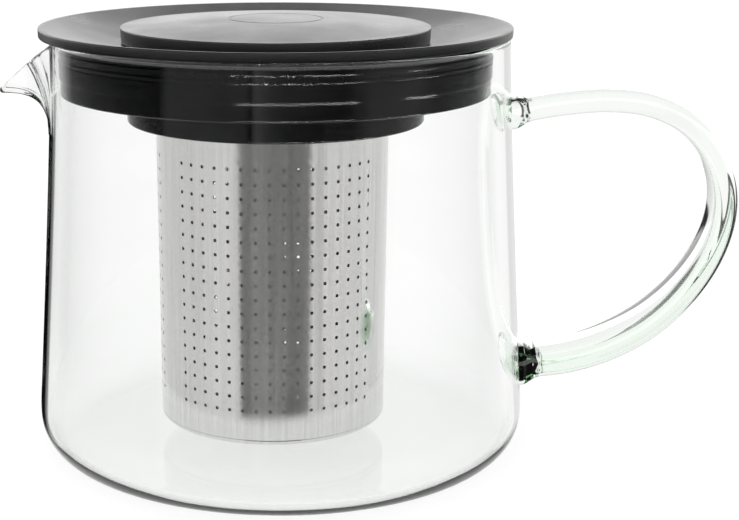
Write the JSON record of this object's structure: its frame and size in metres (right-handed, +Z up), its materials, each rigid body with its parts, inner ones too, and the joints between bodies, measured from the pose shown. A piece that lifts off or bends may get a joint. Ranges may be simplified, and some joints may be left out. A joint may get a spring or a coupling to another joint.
{
  "type": "glass teapot with strainer",
  "caption": "Round glass teapot with a pulled spout and loop handle, a black lid that lifts off, a perforated steel strainer that lifts out of the lid and a small inner lid.",
  "frame": {"origin": "centre of the jug's flat underside, on the jug's axis", "axes": "+Z up, +X towards the handle, -X towards the spout"},
  "size_m": [0.2178, 0.146, 0.128],
  "materials": {
    "glass": "clear polished borosilicate glass, faintly green through its edges",
    "satin_plastic": "fine spark-eroded satin grain",
    "gloss_plastic": "polished moulding",
    "seal_rubber": "smooth soft silicone",
    "strainer_steel": "fine upright brushing"
  },
  "bodies": {
    "jug": {"glass_jug": "glass", "glass_handle": "glass"},
    "lid": {"lid_plate": "satin_plastic", "lid_collar": "gloss_plastic", "lid_seal_ring": "seal_rubber", "strainer_seat": "gloss_plastic"},
    "strainer": {"strainer_rim": "strainer_steel", "strainer_wall": "strainer_steel", "strainer_floor": "strainer_steel"},
    "inner_lid": {"inner_lid_disc": "satin_plastic", "inner_lid_plug": "gloss_plastic"}
  },
  "joints": [
    {"name": "lid_lift", "type": "slide", "parent": "jug", "child": "lid", "axis": [0, 0, 1], "range_m": [0, 0.125]},
    {"name": "strainer_lift", "type": "slide", "parent": "lid", "child": "strainer", "axis": [0, 0, 1], "range_m": [0, 0.125]},
    {"name": "inner_lid_lift", "type": "slide", "parent": "strainer", "child": "inner_lid", "axis": [0, 0, 1], "range_m": [0, 0.03]}
  ]
}
